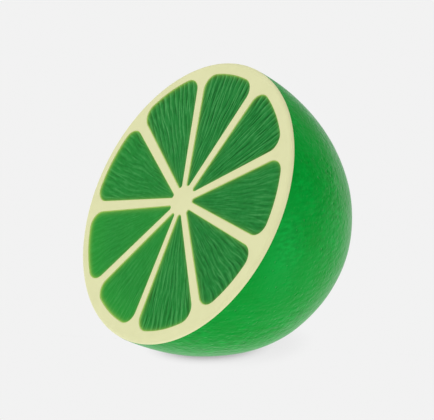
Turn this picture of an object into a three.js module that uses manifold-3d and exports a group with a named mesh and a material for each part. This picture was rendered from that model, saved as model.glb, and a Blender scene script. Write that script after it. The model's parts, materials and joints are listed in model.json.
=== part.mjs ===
// Half a lime, cut straight across just past its widest circle, standing tilted on a small flat spot.
// The half is one solid. Its cut face holds a rim and a star of pale pith, and between the star's
// arms the flesh of each segment lies a little below the pith.
//
// Millimetres, +Z up. The origin is the middle of the flat spot, and the cut face looks towards
// -Y and upwards. The half is made in the face's own frame first: there +Z points out of the cut
// face, and the origin is the middle of the fruit's widest circle.

import * as THREE from 'three';
import { mergeVertices } from 'three/addons/utils/BufferGeometryUtils.js';
import Module from 'manifold-3d';

// Driving dimensions
const FRUIT_RADIUS = 26; // of the widest circle, square to the fruit's axis
const DOME_DEPTH = 31.5; // from the widest circle to the blossom end, without its nipple
const FACE_HEIGHT = 1.4; // of the cut face above the widest circle
const RIM_ROUNDING = 0.85; // where the cut face turns into the side

const NIPPLE_HEIGHT = 1.3; // of the blossom end's nipple above the dome
const NIPPLE_SPREAD = 3.2; // from the axis to where the nipple has sunk to a third

const FACE_TILT = 30; // degrees of the face's normal above the horizon
const REST_CUT = 0.75; // how much the flat spot takes off the dome

// The core, where the pith arms meet, lies a little off the fruit's axis
const CORE = new THREE.Vector2(0.11, -0.13);
// Each arm's direction in degrees, counted from the face's right side upwards, and its width at the
// core. Reach is the radius, from the fruit's axis, of the segment on the arm's left.
const ARMS = [
  { angle: -5.7, width: 1.25, reach: 24 },
  { angle: 35.2, width: 1.3, reach: 23.9 },
  { angle: 74.4, width: 1.3, reach: 23.7 },
  { angle: 113.1, width: 1.1, reach: 24.05 },
  { angle: 153, width: 1.4, reach: 24.1 },
  { angle: 195.7, width: 1.35, reach: 24.1 },
  { angle: 236.3, width: 1.1, reach: 23.55 },
  { angle: 274.9, width: 0.95, reach: 23.9 },
  { angle: 315, width: 1.25, reach: 23.9 },
];
const ARM_FLARE = 0.9; // degrees that each side of an arm opens outwards
const PULP_DEPTH = 0.3; // of the flesh below the pith
const CORNER_RADIUS = 2.5; // of a segment's two outer corners
const TIP_RADIUS = 0.45; // of its point at the core

// Fineness
const TURN_STEPS = 72; // round the fruit's axis
const DOME_STEPS = 18; // from the blossom end to the widest circle
const RIM_STEPS = 3;
const ARC_STEPS = 5; // on each arc of a segment's outline

const RIND_GREEN = 0x1f9a43;

const { degToRad } = THREE.MathUtils;
const kernel = await Module();
kernel.setup();

function toSolid(geometry) {
  const bare = geometry.clone();
  bare.deleteAttribute('normal');
  bare.deleteAttribute('uv');
  const merged = mergeVertices(bare, 1e-4);
  return new kernel.Manifold(new kernel.Mesh({
    numProp: 3,
    vertProperties: merged.attributes.position.array,
    triVerts: new Uint32Array(merged.index.array),
  }));
}

function toGeometry(solid) {
  const { vertProperties, triVerts } = solid.getMesh();
  const geometry = new THREE.BufferGeometry();
  geometry.setAttribute('position', new THREE.BufferAttribute(vertProperties, 3));
  geometry.setIndex(new THREE.BufferAttribute(triVerts, 1));
  geometry.computeVertexNormals();
  return geometry;
}

// The uncut half: half an ellipsoid with a nipple on its end, and a low drum above the widest circle
function halfGeometry() {
  const profile = [];
  for (let i = 0; i <= DOME_STEPS; i++) {
    const turn = (i / DOME_STEPS) * Math.PI / 2;
    const radius = FRUIT_RADIUS * Math.sin(turn);
    const nipple = NIPPLE_HEIGHT * Math.exp(-((radius / NIPPLE_SPREAD) ** 2));
    profile.push(new THREE.Vector2(radius, -DOME_DEPTH * Math.cos(turn) - nipple));
  }
  for (let i = 0; i <= RIM_STEPS; i++) {
    const turn = (i / RIM_STEPS) * Math.PI / 2;
    profile.push(new THREE.Vector2(
      FRUIT_RADIUS - RIM_ROUNDING * (1 - Math.cos(turn)),
      FACE_HEIGHT - RIM_ROUNDING * (1 - Math.sin(turn)),
    ));
  }
  profile.push(new THREE.Vector2(0, FACE_HEIGHT));
  profile[0].x = 0;
  const lathe = new THREE.LatheGeometry(profile, TURN_STEPS);
  return lathe.rotateX(Math.PI / 2);
}

// One side of a segment: a straight line beside an arm, with the way it runs and the way inwards
function segmentSide(arm, inwardSign) {
  const middle = degToRad(arm.angle);
  const run = degToRad(arm.angle + inwardSign * ARM_FLARE);
  const fromMiddle = new THREE.Vector2(-Math.sin(middle), Math.cos(middle));
  return {
    start: CORE.clone().addScaledVector(fromMiddle, inwardSign * arm.width / 2),
    along: new THREE.Vector2(Math.cos(run), Math.sin(run)),
    inward: new THREE.Vector2(-Math.sin(run), Math.cos(run)).multiplyScalar(inwardSign),
  };
}

// The middle of the round corner that touches a side and, from inside, the segment's outer arc
function cornerMiddle(side, reach) {
  const from = side.start.clone().addScaledVector(side.inward, CORNER_RADIUS);
  const half = from.dot(side.along);
  const distance = -half + Math.sqrt(half * half - from.lengthSq() + (reach - CORNER_RADIUS) ** 2);
  return from.addScaledVector(side.along, distance);
}

// The middle of the round tip, which touches both sides
function tipMiddle(right, left) {
  const a = right.start.clone().addScaledVector(right.inward, TIP_RADIUS);
  const b = left.start.clone().addScaledVector(left.inward, TIP_RADIUS);
  const between = b.clone().sub(a);
  return a.addScaledVector(right.along, between.cross(left.along) / right.along.cross(left.along));
}

// A segment's outline between two arms: round tip, straight sides, round corners, outer arc
function segmentShape(rightArm, leftArm) {
  const right = segmentSide(rightArm, 1);
  const left = segmentSide(leftArm, -1);
  const rightCorner = cornerMiddle(right, rightArm.reach);
  const leftCorner = cornerMiddle(left, rightArm.reach);
  const tip = tipMiddle(right, left);
  const awayFromRight = right.inward.clone().negate().angle();
  const awayFromLeft = left.inward.clone().negate().angle();

  const shape = new THREE.Shape();
  shape.absarc(rightCorner.x, rightCorner.y, CORNER_RADIUS, awayFromRight, rightCorner.angle(), false);
  shape.absarc(0, 0, rightArm.reach, rightCorner.angle(), leftCorner.angle(), false);
  shape.absarc(leftCorner.x, leftCorner.y, CORNER_RADIUS, leftCorner.angle(), awayFromLeft, false);
  shape.absarc(tip.x, tip.y, TIP_RADIUS, awayFromLeft, awayFromRight, false);
  shape.closePath();
  return shape;
}

// The space above a segment's flesh, up past the cut face
function segmentPocket(rightArm, leftArm) {
  const pocket = new THREE.ExtrudeGeometry(segmentShape(rightArm, leftArm), {
    depth: 2 * PULP_DEPTH,
    bevelEnabled: false,
    curveSegments: ARC_STEPS,
  });
  return toSolid(pocket.translate(0, 0, FACE_HEIGHT - PULP_DEPTH));
}

// From the face's frame to the standing lime: lean it back, then bring the flat spot to the origin
function standing() {
  const alongDown = Math.sin(degToRad(FACE_TILT));
  const acrossDown = Math.cos(degToRad(FACE_TILT));
  const drop = Math.hypot(DOME_DEPTH * alongDown, FRUIT_RADIUS * acrossDown);
  const back = (DOME_DEPTH ** 2 - FRUIT_RADIUS ** 2) * alongDown * acrossDown / drop;
  return new THREE.Matrix4()
    .makeTranslation(0, -back, drop - REST_CUT)
    .multiply(new THREE.Matrix4().makeRotationX(degToRad(90 - FACE_TILT)));
}

function limeHalf() {
  let half = toSolid(halfGeometry());
  ARMS.forEach((rightArm, i) => {
    const leftArm = ARMS[(i + 1) % ARMS.length];
    half = half.subtract(segmentPocket(rightArm, leftArm));
  });
  const upright = toSolid(toGeometry(half).applyMatrix4(standing()));
  const room = 4 * FRUIT_RADIUS;
  const below = new THREE.BoxGeometry(room, room, room).translate(0, 0, -room / 2);
  return toGeometry(upright.subtract(toSolid(below)));
}

const lime = new THREE.Mesh(
  limeHalf(),
  new THREE.MeshStandardMaterial({ color: RIND_GREEN, roughness: 0.5, metalness: 0 }),
);
lime.name = 'lime_half';

const group = new THREE.Group();
group.add(lime);

export default group;
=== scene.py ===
import json
from math import atan2, cos, exp, hypot, pi, radians, sin, sqrt

import bmesh
import bpy
from mathutils import Matrix, Vector, noise


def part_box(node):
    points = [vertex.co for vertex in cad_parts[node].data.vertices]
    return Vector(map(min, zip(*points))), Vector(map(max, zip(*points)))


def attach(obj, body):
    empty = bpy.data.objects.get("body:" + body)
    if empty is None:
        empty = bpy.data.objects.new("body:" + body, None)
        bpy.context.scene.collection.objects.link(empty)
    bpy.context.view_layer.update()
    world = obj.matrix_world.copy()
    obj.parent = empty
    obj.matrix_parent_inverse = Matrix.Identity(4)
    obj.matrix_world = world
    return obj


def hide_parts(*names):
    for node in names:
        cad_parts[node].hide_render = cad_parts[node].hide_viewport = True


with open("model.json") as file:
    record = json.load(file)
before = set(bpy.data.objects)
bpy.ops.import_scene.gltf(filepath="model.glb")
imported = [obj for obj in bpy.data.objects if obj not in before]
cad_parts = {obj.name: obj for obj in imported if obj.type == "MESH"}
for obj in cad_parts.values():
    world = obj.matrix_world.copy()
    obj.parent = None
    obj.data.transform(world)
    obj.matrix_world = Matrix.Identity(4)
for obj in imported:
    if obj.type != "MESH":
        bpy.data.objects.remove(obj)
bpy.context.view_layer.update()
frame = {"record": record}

# ---------------------------------------------------------------------------------------------
# The lime stands on a small flat spot with its cut face leaning back. Every piece is shaped
# lying down, with +Z out of the cut face and height 0 at the fruit's widest circle, and is
# then stood up where the frame says the cut face is.
low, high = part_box("lime_half")
cut_face = next(m for m in frame["record"]["mounts"] if m["name"] == "cut_face")
fruit_radius = (high.x - low.x) / 2
face_height = 0.0014

face_out = Vector(cut_face["axis"]).normalized()
face_right = Vector((1, 0, 0))
face_up = face_out.cross(face_right)
widest_middle = Vector(cut_face["pos_m"]) - face_out * face_height
stand_up = Matrix((face_right, face_up, face_out)).transposed().to_4x4()
stand_up.translation = widest_middle

# ---------------------------------------------------------------------------------------------
# Rind: the satin green skin of the half, a deep dome dimpled with oil glands. It is fuller on one
# side, has a painted sheen patch beside the cut and a scarred nipple on its blossom end, and is
# sliced flat where the lime rests.
dome_depth = 0.0315
nipple_height = 0.0013
nipple_spread = 0.0032
scar_radius = 0.0007
scar_depth = 0.00025
rind_edge = 0.0004  # the rind's top, under the pith's plate
spare_edge = 0.02  # of the ball's radius, kept above the widest circle until the rind is shaped

gland_spacing = 0.00115
gland_radius = 0.00046
gland_depth = 0.00005
swell_size = 0.006
swell_height = 0.00005
fullness = 0.024  # of the radius, where the fuller side is fullest
full_side = Vector((0.669, -0.743))
full_narrowness = 30

dark_green = (0.0003, 0.263, 0.022)
light_green = (0.0008, 0.305, 0.033)
scar_brown = (0.13, 0.11, 0.035)
scar_strength = 0.8
# A painted sheen: a lighter green patch on the skin beside the cut, standing in for a reflection of the
# floor.
painted_sheen_green = (0.006, 0.350, 0.052)
painted_sheen_strength = 0.5
painted_sheen_middle = Vector((0.0255, -0.0035, 0.0235))
painted_sheen_scale = Vector((1.0, 1.0, 0.45))
painted_sheen_reach = 0.0075
# The darker flecks are the skin's own speckle; the lighter, whiter flecks are painted glints.
fleck_and_glint_shades = ((0.30, (0.87, 0.87, 0.87)), (0.50, (1.0, 1.0, 1.0)), (0.72, (1.30, 1.20, 1.30)))
grain_stretch = (1.0, 0.6, 1.4)


def clamp(value):
    return max(0.0, min(1.0, value))


def cut_level(shape, height, side):
    """Takes off what is above a level if side is 1, or below it if side is -1. Gives the cut's ring."""
    everything = shape.verts[:] + shape.edges[:] + shape.faces[:]
    cut = bmesh.ops.bisect_plane(
        shape, geom=everything, plane_co=(0, 0, height), plane_no=(0, 0, side), clear_outer=True
    )
    return [e for e in cut["geom_cut"] if isinstance(e, bmesh.types.BMEdge)]


def add_piece(name, shape, material):
    """Makes a shape that stands in its place a piece of the lime."""
    mesh = bpy.data.meshes.new(name)
    shape.to_mesh(mesh)
    shape.free()
    mesh.materials.append(material)
    piece = bpy.data.objects.new(name, mesh)
    bpy.context.scene.collection.objects.link(piece)
    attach(piece, "root")
    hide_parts("lime_half")


def node_adder(tree):
    """A function that adds a shader node to a tree, with its inputs set or linked.

    An input is given by its name, with _ for each space, or by _ and its number.
    """

    def add(kind, settings=None, **inputs):
        node = tree.nodes.new("ShaderNode" + kind)
        for key, value in (settings or {}).items():
            setattr(node, key, value)
        for key, value in inputs.items():
            socket = node.inputs[int(key[1:])] if key[0] == "_" else node.inputs[key.replace("_", " ")]
            if isinstance(value, bpy.types.NodeSocket):
                tree.links.new(value, socket)
            else:
                socket.default_value = value
        return node

    return add


def new_material(name, roughness, gloss):
    """A material, its Principled shader, and its node adder."""
    material = bpy.data.materials.new(name)
    material.use_nodes = True
    shader = material.node_tree.nodes["Principled BSDF"]
    shader.inputs["Roughness"].default_value = roughness
    shader.inputs["Specular IOR Level"].default_value = gloss
    return material, shader, node_adder(material.node_tree)


def colour_ramp(add, share, *stops):
    """Colours at positions along a share from 0 to 1."""
    ramp = add("ValToRGB", Fac=share)
    elements = ramp.color_ramp.elements
    while len(elements) < len(stops):
        elements.new(0.5)
    for element, (position, colour) in zip(elements, stops):
        element.position = position
        element.color = (*colour, 1)
    return ramp.outputs["Color"]


def mix_colours(add, share, first, second, way="MIX"):
    """Goes from the first colour to the second, each a socket or three numbers."""
    first, second = [c if isinstance(c, bpy.types.NodeSocket) else (*c, 1) for c in (first, second)]
    mix = add("Mix", {"data_type": "RGBA", "blend_type": way}, _0=share, _6=first, _7=second)
    return mix.outputs[2]


def mix_values(add, share, first, second):
    return add("Mix", {"data_type": "FLOAT"}, _0=share, _2=first, _3=second).outputs[0]


def map_range(add, value, start, end, first=0.0, last=1.0, way="LINEAR"):
    """Goes from first to last as a value goes from start to end."""
    mapped = add(
        "MapRange", {"interpolation_type": way},
        Value=value, From_Min=start, From_Max=end, To_Min=first, To_Max=last,
    )
    return mapped.outputs["Result"]


def vector_math(add, operation, first, **second):
    return add("VectorMath", {"operation": operation}, _0=first, **second).outputs["Value"]


def soft_noise(add, place, scale, detail, roughness):
    noise_node = add("TexNoise", Vector=place, Scale=scale, Detail=detail, Roughness=roughness)
    return noise_node.outputs["Fac"]


def bump(add, strength, distance, height, **over):
    return add("Bump", Strength=strength, Distance=distance, Height=height, **over).outputs["Normal"]


def link_surface(material, shader, colour, normal):
    material.node_tree.links.new(colour, shader.inputs["Base Color"])
    material.node_tree.links.new(normal, shader.inputs["Normal"])


rind = bmesh.new()
bmesh.ops.create_icosphere(rind, subdivisions=8, radius=1)
cut_level(rind, spare_edge, 1)
for vert in rind.verts:
    ball = vert.co.copy()
    outwards = Vector((ball.x / fruit_radius, ball.y / fruit_radius, ball.z / dome_depth)).normalized()
    place = ball * Vector((fruit_radius, fruit_radius, dome_depth))
    to_full_side = max(0.0, ball.xy.normalized().dot(full_side)) ** full_narrowness
    half_way_down = -4 * ball.z * (1 + ball.z)
    place.xy *= 1 + fullness * to_full_side * half_way_down
    off_axis = hypot(place.x, place.y)
    if ball.z < 0:
        place.z -= nipple_height * exp(-(off_axis / nipple_spread) ** 2)
        place.z += scar_depth * exp(-(off_axis / scar_radius) ** 2)
    to_gland = noise.voronoi(place / gland_spacing)[0][0] * gland_spacing
    dip = clamp(1 - to_gland / gland_radius)
    swell = noise.noise(place / swell_size) * swell_height
    vert.co = place + outwards * (swell - gland_depth * dip * dip * (3 - 2 * dip))
bmesh.ops.contextual_create(rind, geom=cut_level(rind, rind_edge, 1))
rind.transform(stand_up)
bmesh.ops.contextual_create(rind, geom=cut_level(rind, 0, -1))
for face in rind.faces:
    face.smooth = len(face.verts) < 5

green_skin, shader, add = new_material("green_skin", roughness=0.32, gloss=0.042)
place = add("TexCoord").outputs["Object"]
mottle = soft_noise(add, place, scale=160.0, detail=4.0, roughness=0.6)
green = colour_ramp(add, mottle, (0.3, dark_green), (0.75, light_green))

# Painted sheen: the skin is lighter in a stretched patch beside the cut, where the floor would be reflected.
to_painted_sheen = add("Mapping", Vector=place, Scale=painted_sheen_scale, Location=-painted_sheen_middle * painted_sheen_scale)
from_painted_sheen = vector_math(add, "LENGTH", to_painted_sheen.outputs["Vector"])
painted_sheen = map_range(add, from_painted_sheen, 0.0, painted_sheen_reach, painted_sheen_strength, 0.0, way="SMOOTHSTEP")
green = mix_colours(add, painted_sheen, green, painted_sheen_green)

scar_middle = stand_up @ Vector((0, 0, -dome_depth - nipple_height))
from_scar = vector_math(add, "DISTANCE", place, _1=scar_middle)
scar = map_range(add, from_scar, 0.6 * scar_radius, 1.4 * scar_radius, scar_strength, 0.0)
green = mix_colours(add, scar, green, scar_brown)

patchy = soft_noise(add, place, scale=110.0, detail=2.0, roughness=0.5)
patch = map_range(add, patchy, 0.32, 0.66, way="SMOOTHSTEP")
stretched = add("Mapping", Vector=place, Scale=grain_stretch).outputs["Vector"]
# In patches the skin gets fine flecks: darker ones that are its own speckle, and lighter, whiter ones that
# are painted glints.
speckle_and_glints = soft_noise(add, stretched, scale=1150.0, detail=1.5, roughness=0.5)
skin = mix_colours(add, patch, green, colour_ramp(add, speckle_and_glints, *fleck_and_glint_shades), way="MULTIPLY")

pits = add("TexVoronoi", {"feature": "SMOOTH_F1"}, Vector=place, Scale=1150.0, Smoothness=0.4)
pit_rise = map_range(add, pits.outputs["Distance"], 0.0, 0.5, way="SMOOTHSTEP")
pocks = add("TexVoronoi", Vector=place, Scale=620.0)
pock_rise = map_range(add, pocks.outputs["Distance"], 0.0, 0.19, way="SMOOTHSTEP")
pocked = map_range(add, pocks.outputs["Color"], 0.50, 0.55)
pock_rise = mix_values(add, pocked, 1.0, pock_rise)
grain = soft_noise(add, stretched, scale=700.0, detail=2.0, roughness=0.5)
relief = bump(add, 0.4, 0.0001, pit_rise)
relief = bump(add, 0.7, 0.0002, pock_rise, Normal=relief)
relief = bump(add, 0.9, 0.0002, grain, Normal=relief)
link_surface(green_skin, shader, skin, relief)
add_piece("rind", rind, green_skin)

# ---------------------------------------------------------------------------------------------
# Pith: the pale plate of the cut face, a rim and a star of nine arms from a core that lies a
# little off the fruit's axis. It has an opening for each segment's flesh, and softly rounded
# edges.
core = Vector((0.00011, -0.00013))
arms = [
    # Each arm's direction and width at the core, and the radius that the segment on its left reaches.
    (-5.7, 0.00125, 0.02400),
    (35.2, 0.00130, 0.02390),
    (74.4, 0.00130, 0.02370),
    (113.1, 0.00110, 0.02405),
    (153.0, 0.00140, 0.02410),
    (195.7, 0.00135, 0.02410),
    (236.3, 0.00110, 0.02355),
    (274.9, 0.00095, 0.02390),
    (315.0, 0.00125, 0.02390),
]
arm_flare = radians(0.9)
corner_radius = 0.0025
tip_radius = 0.00045
rim_rounding = 0.00085
opening_rounding = 0.00014

round_steps = 360
across_steps = 260  # of a segment, from its right side to its left
tip_stride = 6  # of those steps, between two corners of the round tip
edge_crowding = 0.6
closest_corners = 0.000005
level_slack = 0.000001
sharp_edge = 1.0  # radians between the faces beside an edge that is rounded
level_face = 0.99  # the upward share of a face's direction past which it is shaded flat

dark_cream = (0.690, 0.692, 0.385)
light_cream = (0.720, 0.720, 0.410)
opening_green = (0.42, 0.62, 0.14)


def crowded(share):
    """Moves evenly spaced shares towards both ends, where an outline turns and needs finer steps."""
    return share - edge_crowding * sin(2 * pi * share) / (2 * pi)


class Segment:
    """One segment's outline between two arms, as distances from the point where its sides meet."""

    def __init__(self, right_arm, left_arm):
        right_angle, right_width, self.radius = right_arm
        left_angle, left_width, _ = left_arm
        right = radians(right_angle)
        left = radians(left_angle if left_angle > right_angle else left_angle + 360)
        self.right = right + arm_flare
        self.left = left - arm_flare
        right_way = self.way(self.right)
        left_way = self.way(self.left)
        self.side_ways = right_way, left_way
        start = core + Vector((-sin(right), cos(right))) * right_width / 2
        end = core + Vector((sin(left), -cos(left))) * left_width / 2
        self.point = start + right_way * ((end - start).cross(left_way) / right_way.cross(left_way))
        half = (self.left - self.right) / 2
        self.middle = self.way(self.right + half)
        self.tip = self.middle * (tip_radius / sin(half))
        self.corners = [self.corner(right_way, 1), self.corner(left_way, -1)]
        joins = [(self.point + c).normalized() * self.radius - self.point for c in self.corners]
        self.joins = [atan2(right_way.cross(join), right_way.dot(join)) for join in joins]

    @staticmethod
    def way(angle):
        return Vector((cos(angle), sin(angle)))

    def corner(self, side_way, turn):
        """The middle of the round corner that touches a side and, from inside, the outer arc."""
        inwards = Vector((-side_way.y, side_way.x)) * turn
        start = self.point + inwards * corner_radius
        along = start.dot(side_way)
        reach = self.radius - corner_radius
        return start + side_way * (sqrt(along ** 2 - start.length_squared + reach ** 2) - along) - self.point

    def span(self, share):
        """The way from the point at a share of the turn from right to left, and the outline there."""
        turn = (self.left - self.right) * share
        way = self.way(self.right + turn)
        near = self.meet(self.tip, tip_radius, way, -1)
        if turn < self.joins[0]:
            far = self.meet(self.corners[0], corner_radius, way, 1)
        elif turn > self.joins[1]:
            far = self.meet(self.corners[1], corner_radius, way, 1)
        else:
            far = self.meet(-self.point, self.radius, way, 1)
        return way, near, far

    @staticmethod
    def meet(middle, radius, way, end):
        """How far along a way a circle is met: its near end is -1 and its far end is 1."""
        along = middle.dot(way)
        return along + end * sqrt(max(0.0, radius ** 2 - middle.length_squared + along ** 2))

    def inside(self, spot):
        """How far inside the outline a spot on the flesh is."""
        from_point = spot - self.point
        from_tip = from_point - self.tip
        if all(from_tip.dot(side_way) < 0 for side_way in self.side_ways):
            return tip_radius - from_tip.length
        for side_way, corner, turn in zip(self.side_ways, self.corners, (1, -1)):
            from_corner = from_point - corner
            if from_corner.dot(side_way) > 0 and (self.point + corner).cross(spot) * turn < 0:
                return corner_radius - from_corner.length
        to_right = self.side_ways[0].cross(from_point)
        to_left = from_point.cross(self.side_ways[1])
        return min(to_right, to_left, self.radius - spot.length)


segments = [Segment(right_arm, left_arm) for right_arm, left_arm in zip(arms, arms[1:] + arms[:1])]

pith = bmesh.new()
bmesh.ops.create_circle(pith, segments=round_steps, radius=fruit_radius)
for segment in segments:
    spans = [segment.span(crowded(i / across_steps)) for i in range(across_steps + 1)]
    outline = [segment.point + way * far for way, near, far in spans]
    outline += [segment.point + way * near for way, near, far in reversed(spans[::tip_stride])]
    corners = [pith.verts.new((p.x, p.y, 0)) for p in outline]
    for a, b in zip(corners, corners[1:] + corners[:1]):
        pith.edges.new((a, b))
bmesh.ops.remove_doubles(pith, verts=pith.verts, dist=closest_corners)
bmesh.ops.triangle_fill(pith, edges=pith.edges, use_beauty=True)
bmesh.ops.translate(pith, verts=pith.verts, vec=(0, 0, rind_edge))
plate = bmesh.ops.extrude_face_region(pith, geom=pith.faces[:], use_keep_orig=True)
raised = [v for v in plate["geom"] if isinstance(v, bmesh.types.BMVert)]
bmesh.ops.translate(pith, verts=raised, vec=(0, 0, face_height - rind_edge))
bmesh.ops.recalc_face_normals(pith, faces=pith.faces)

rim_edges, opening_edges = [], []
for edge in pith.edges:
    on_top = all(v.co.z > face_height - level_slack for v in edge.verts)
    if on_top and edge.calc_face_angle(0) > sharp_edge:
        on_rim = all(v.co.xy.length > fruit_radius - rim_rounding for v in edge.verts)
        (rim_edges if on_rim else opening_edges).append(edge)
for edges, rounding, steps in ((rim_edges, rim_rounding, 6), (opening_edges, opening_rounding, 3)):
    bmesh.ops.bevel(
        pith, geom=edges, offset=rounding, segments=steps, profile=0.5, affect="EDGES", material=-1
    )
edge_layer = pith.verts.layers.float.new("edge")
for vert in pith.verts:
    if vert.co.xy.length < fruit_radius - 2 * rim_rounding:
        vert[edge_layer] = min(1.0, (face_height - vert.co.z) / opening_rounding)
for face in pith.faces:
    face.smooth = abs(face.normal.z) < level_face

cream_pith, shader, add = new_material("cream_pith", roughness=0.55, gloss=0.25)
place = add("TexCoord").outputs["Object"]
mottle = soft_noise(add, place, scale=250.0, detail=3.0, roughness=0.6)
cream = colour_ramp(add, mottle, (0.3, dark_cream), (0.7, light_cream))
edge = add("Attribute", {"attribute_name": "edge"}).outputs["Fac"]
edged_cream = mix_colours(add, edge, cream, opening_green)
grain = soft_noise(add, place, scale=1400.0, detail=3.0, roughness=0.6)
link_surface(cream_pith, shader, edged_cream, bump(add, 0.12, 0.0001, grain))
pith.transform(stand_up)
add_piece("pith", pith, cream_pith)

# ---------------------------------------------------------------------------------------------
# Pulp: the flesh of nine segments, one piece each. It fills its opening in the pith, lies a little
# below the face and turns up a low lip at its edge. Fine juice strands, with thin grooves between
# them, run across it from the core outwards.
recess = 0.00030
lip_rise = 0.00016
lip_width = 0.00060
along_steps = 90  # from a segment's tip to its outer arc
outer_band = 0.006

strand_back = 0.009  # the strands fan out from this far behind a segment's point
strand_spacing = 0.00135
strand_length = 0.0030
strand_lean = 0.09  # of the two families of strands, which cross
strand_step = 0.77  # between two strands' places in the noise
strand_height = 0.00012
crest_place, groove_place, line_width = 0.35, 0.70, 0.11  # in a strand's spacing
crest_least, groove_least = 0.5, 0.4  # before the noise makes a strand stronger or weaker
crest_strength, groove_strength = 0.75, 0.65
fade_start, fade_end = 0.25, 0.875  # of the radius, where the strands are faint and full
faintest = 0.4
bend_size = 0.0045
noise_seed = 3  # of the strands' strengths
wander = 0.28
wander_size = Vector((0.0018, 0.0055))
fine_size, fine_strength = Vector((0.00032, 0.0030)), 0.30
grain_size, grain_strength = Vector((0.00042, 0.0013)), 0.16
patch_size, patch_strength = 0.0035, 0.06
middle_tone = 0.46
seed_step, patch_seed, fine_seed, grain_seed = 7.3, 60, 80, 100

# The flesh is darker in its strands' grooves, partly its own colour and partly painted shade, and lighter on
# their crests, partly its own colour and partly a painted highlight.
groove_shade_green = (0.001, 0.095, 0.010)
flesh_green = (0.009, 0.196, 0.029)
crest_highlight_green = (0.055, 0.305, 0.076)
pale_green = (0.022, 0.360, 0.030)
# The edge is tinted the yellow-green of the opening's wall, and a painted highlight on the lip makes it
# lighter still, most at the outer arc.
edge_paint_and_highlight_green = (0.38, 0.60, 0.10)
mottle_shades = ((0.3, (0.80, 0.93, 0.84)), (0.7, (1.20, 1.07, 1.16)))
tint_width = 0.00012
highlight_width = 0.00030
inner_highlight, outer_highlight = 0.8, 1.3  # of a segment's own painted edge highlight, inside and at its outer arc
inner_pale, outer_pale = 0.8, 1.5
flesh_characters = [
    # How marked the strands are, how far they bend, how pale the flesh is and how strong the painted
    # highlight along its edge is.
    (0.42, 0.0006, 0.00, 0.30),
    (0.85, 0.0003, 0.00, 0.30),
    (1.00, 0.0003, 0.00, 0.30),
    (0.90, 0.0003, 0.05, 0.35),
    (0.55, 0.0010, 0.15, 0.40),
    (0.25, 0.0006, 0.35, 0.50),
    (0.40, 0.0005, 0.32, 0.50),
    (0.82, 0.0005, 0.10, 0.45),
    (0.62, 0.0008, 0.00, 0.30),
]


def streaks(across, along, size, seed):
    """Smooth noise in streaks of a width and a length along the strands."""
    return noise.noise(Vector((across / size.x, along / size.y, seed)))


def strand_relief(spot, segment, seed, mark, bend):
    """From 0 in a groove to 1 on the crest of a strand, for a spot on a segment's flesh."""
    back = spot - segment.point + segment.middle * strand_back
    turn = atan2(segment.middle.cross(back), segment.middle.dot(back))
    across = turn * (segment.radius + strand_back)
    across += bend * noise.noise(Vector((spot.x, spot.y, seed)) / bend_size)
    along = back.length
    swerve = wander * streaks(across, along, wander_size, seed)
    crest = groove = 0.0
    for lean in (-strand_lean, strand_lean):
        strand, share = divmod((across + lean * along) / strand_spacing + swerve, 1)
        strength = noise.noise_vector(Vector((strand * strand_step, along / strand_length, seed + lean)))
        crest = max(crest, (crest_least + strength.x) * exp(-((share - crest_place) / line_width) ** 2))
        groove = max(groove, (groove_least + strength.y) * exp(-((share - groove_place) / line_width) ** 2))
    outer = clamp((spot.length / segment.radius - fade_start) / (fade_end - fade_start))
    marks = (crest_strength * crest - groove_strength * groove) * (faintest + (1 - faintest) * outer)
    marks += fine_strength * streaks(across, along, fine_size, seed + fine_seed)
    grain = grain_strength * streaks(across, along, grain_size, seed + grain_seed)
    patch = patch_strength * noise.noise(Vector((spot.x, spot.y, seed + patch_seed)) / patch_size)
    return clamp(middle_tone + mark * marks + grain + patch)


noise.seed_set(noise_seed)
green_pulp, shader, add = new_material("green_pulp", roughness=0.45, gloss=0.08)
place = add("TexCoord").outputs["Object"]
strand = add("Attribute", {"attribute_name": "strand"}).outputs["Fac"]
# The colour follows the strands' relief: darker in the grooves, partly painted shade, and lighter on the
# crests, partly a painted highlight.
flesh = colour_ramp(add, strand, (0.0, groove_shade_green), (0.45, flesh_green), (1.0, crest_highlight_green))
mottle = soft_noise(add, place, scale=1300.0, detail=2.0, roughness=0.6)
flesh = mix_colours(add, 1.0, flesh, colour_ramp(add, mottle, *mottle_shades), way="MULTIPLY")
paleness = add("Attribute", {"attribute_name": "pale"}).outputs["Fac"]
flesh = mix_colours(add, paleness, flesh, pale_green)
# Towards its edge the flesh turns yellow-green: its own tint at the very edge, and a painted highlight a
# little further in.
edge = add("Attribute", {"attribute_name": "edge"}).outputs["Fac"]
flesh = mix_colours(add, edge, flesh, edge_paint_and_highlight_green)
grain = soft_noise(add, place, scale=2200.0, detail=2.0, roughness=0.6)
link_surface(green_pulp, shader, flesh, bump(add, 0.15, 0.0001, grain))

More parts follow.
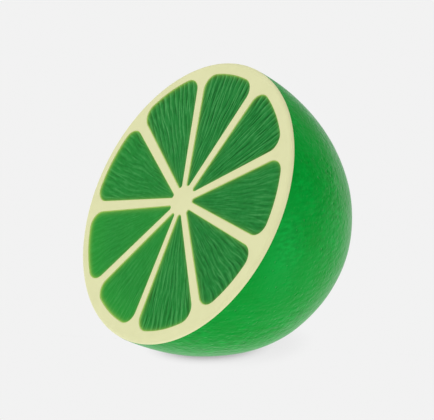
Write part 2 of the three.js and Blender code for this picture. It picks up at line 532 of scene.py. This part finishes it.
for number, (segment, (mark, bend, pale, edge_highlight)) in enumerate(zip(segments, flesh_characters), start=1):
    pulp = bmesh.new()
    bmesh.ops.create_grid(pulp, x_segments=across_steps, y_segments=along_steps, size=0.5)
    strand_layer = pulp.verts.layers.float.new("strand")
    edge_layer = pulp.verts.layers.float.new("edge")
    pale_layer = pulp.verts.layers.float.new("pale")
    for vert in pulp.verts:
        way, near, far = segment.span(crowded(vert.co.x + 0.5))
        spot = segment.point + way * (near + (far - near) * crowded(vert.co.y + 0.5))
        to_edge = segment.inside(spot)
        lip = clamp(1 - to_edge / lip_width)
        outer = clamp(1 - (segment.radius - spot.length) / outer_band)
        relief = strand_relief(spot, segment, number * seed_step, mark, bend)
        height = face_height - recess + lip_rise * lip * lip
        height += strand_height * (relief - 0.5) * (1 - lip)
        vert.co = (spot.x, spot.y, height)
        vert[strand_layer] = relief
        vert[pale_layer] = pale * (inner_pale + (outer_pale - inner_pale) * outer)
        # The tint is the edge's own yellow-green; the band that fades inwards from the edge is a painted
        # highlight on the lip.
        tint = clamp(1 - to_edge / tint_width)
        painted_highlight = edge_highlight * (inner_highlight + (outer_highlight - inner_highlight) * outer) * exp(-to_edge / highlight_width)
        vert[edge_layer] = clamp(tint + painted_highlight)
    rim = [e for e in pulp.edges if e.is_boundary]
    skirt = bmesh.ops.extrude_edge_only(pulp, edges=rim)["geom"]
    for vert in (v for v in skirt if isinstance(v, bmesh.types.BMVert)):
        vert.co.z = rind_edge
    bmesh.ops.contextual_create(pulp, geom=[e for e in skirt if isinstance(e, bmesh.types.BMEdge)])
    bmesh.ops.recalc_face_normals(pulp, faces=pulp.faces)
    for face in pulp.faces:
        face.smooth = True
    pulp.transform(stand_up)
    add_piece(f"pulp_segment_{number}", pulp, green_pulp)

# ---------------------------------------------------------------------------------------------
# Stage: a plain pale floor and room that look alike to the camera. Soft light comes from the upper
# left, with a broader fill from the right, where the floor and the room give less. Two shades lie
# on the floor close to the lime: one all round it, and one behind it.
studio_white = 0.887
floor_light, dark_floor_light = 1.22, 0.35
room_light, dark_room_light = 0.60, 0.08
dark_floor = Vector((0.95, 0.30, 0))
dark_wall = Vector((0.62, 0.77, 0.15))
contact_shades = (
    # How near the lime counts, the way from which it is looked for, and the shade at each openness.
    (0.002, Vector((0, 0, 1)), ((0.0, 0.42), (0.10, 0.72), (0.20, 0.88), (0.35, 0.95), (0.6, 1.0))),
    (0.007, Vector((-0.30, -0.90, 0.25)), ((0.30, 0.86), (0.65, 1.0))),
)
suns = (
    ("key", 1.0, 35, Vector((-0.35, -0.55, 0.80))),
    ("fill", 1.05, 60, Vector((0.80, 0.30, 0.50))),
)
camera_azimuth, camera_height = radians(55.7), radians(15)
camera_distance = 14.90 * fruit_radius
aim_right, aim_down = 0.199 * fruit_radius, 0.0475 * fruit_radius

floor_shape = bmesh.new()
bmesh.ops.create_grid(floor_shape, x_segments=1, y_segments=1, size=12)
floor_mesh = bpy.data.meshes.new("floor")
floor_shape.to_mesh(floor_mesh)
floor_shape.free()
floor = bpy.data.objects.new("floor", floor_mesh)
bpy.context.scene.collection.objects.link(floor)
pale_floor, shader, add = new_material("pale_floor", roughness=1, gloss=0)
shader.inputs["Base Color"].default_value = (0, 0, 0, 1)
place = add("TexCoord").outputs["Object"]
towards = vector_math(add, "DOT_PRODUCT", place, _1=dark_floor)
lit = map_range(add, towards, 0.06, 0.25, floor_light, dark_floor_light)
seen = add("LightPath").outputs["Is Camera Ray"]
brightness = mix_values(add, seen, lit, studio_white)
for reach, facing, stops in contact_shades:
    facing_way = add("CombineXYZ", X=facing.x, Y=facing.y, Z=facing.z).outputs["Vector"]
    openness = add("AmbientOcclusion", {"samples": 16}, Distance=reach, Normal=facing_way).outputs["AO"]
    shade = colour_ramp(add, openness, *[(position, (grey, grey, grey)) for position, grey in stops])
    brightness = add("Math", {"operation": "MULTIPLY"}, _0=brightness, _1=shade).outputs[0]
shader.inputs["Emission Color"].default_value = (1, 1, 1, 1)
pale_floor.node_tree.links.new(brightness, shader.inputs["Emission Strength"])
floor_mesh.materials.append(pale_floor)

world = bpy.data.worlds.new("soft_room")
bpy.context.scene.world = world
world.use_nodes = True
add = node_adder(world.node_tree)
towards = vector_math(add, "DOT_PRODUCT", add("TexCoord").outputs["Generated"], _1=dark_wall)
lit = map_range(add, towards, 0.70, 0.92, room_light, dark_room_light)
seen = add("LightPath").outputs["Is Camera Ray"]
room = mix_values(add, seen, lit, studio_white)
world.node_tree.links.new(room, world.node_tree.nodes["Background"].inputs["Color"])

for name, energy, spread, shine_from in suns:
    lamp = bpy.data.lights.new(name, "SUN")
    lamp.energy = energy
    lamp.angle = radians(spread)
    stand = bpy.data.objects.new(name, lamp)
    stand.rotation_mode = "QUATERNION"
    stand.rotation_quaternion = shine_from.to_track_quat("Z", "Y")
    bpy.context.scene.collection.objects.link(stand)

camera_back = Vector((
    sin(camera_azimuth) * cos(camera_height),
    -cos(camera_azimuth) * cos(camera_height),
    sin(camera_height),
))
camera_right = Vector((cos(camera_azimuth), sin(camera_azimuth), 0))
camera_up = camera_back.cross(camera_right)
camera = bpy.data.cameras.new("camera")
camera.lens = 185
camera.sensor_width = 36
camera_stand = bpy.data.objects.new("camera", camera)
camera_stand.location = widest_middle + camera_back * camera_distance
aim = widest_middle + camera_right * aim_right - camera_up * aim_down
camera_stand.rotation_mode = "QUATERNION"
camera_stand.rotation_quaternion = (camera_stand.location - aim).to_track_quat("Z", "Y")
bpy.context.scene.collection.objects.link(camera_stand)
bpy.context.scene.camera = camera_stand
bpy.context.scene.view_settings.view_transform = "Standard"
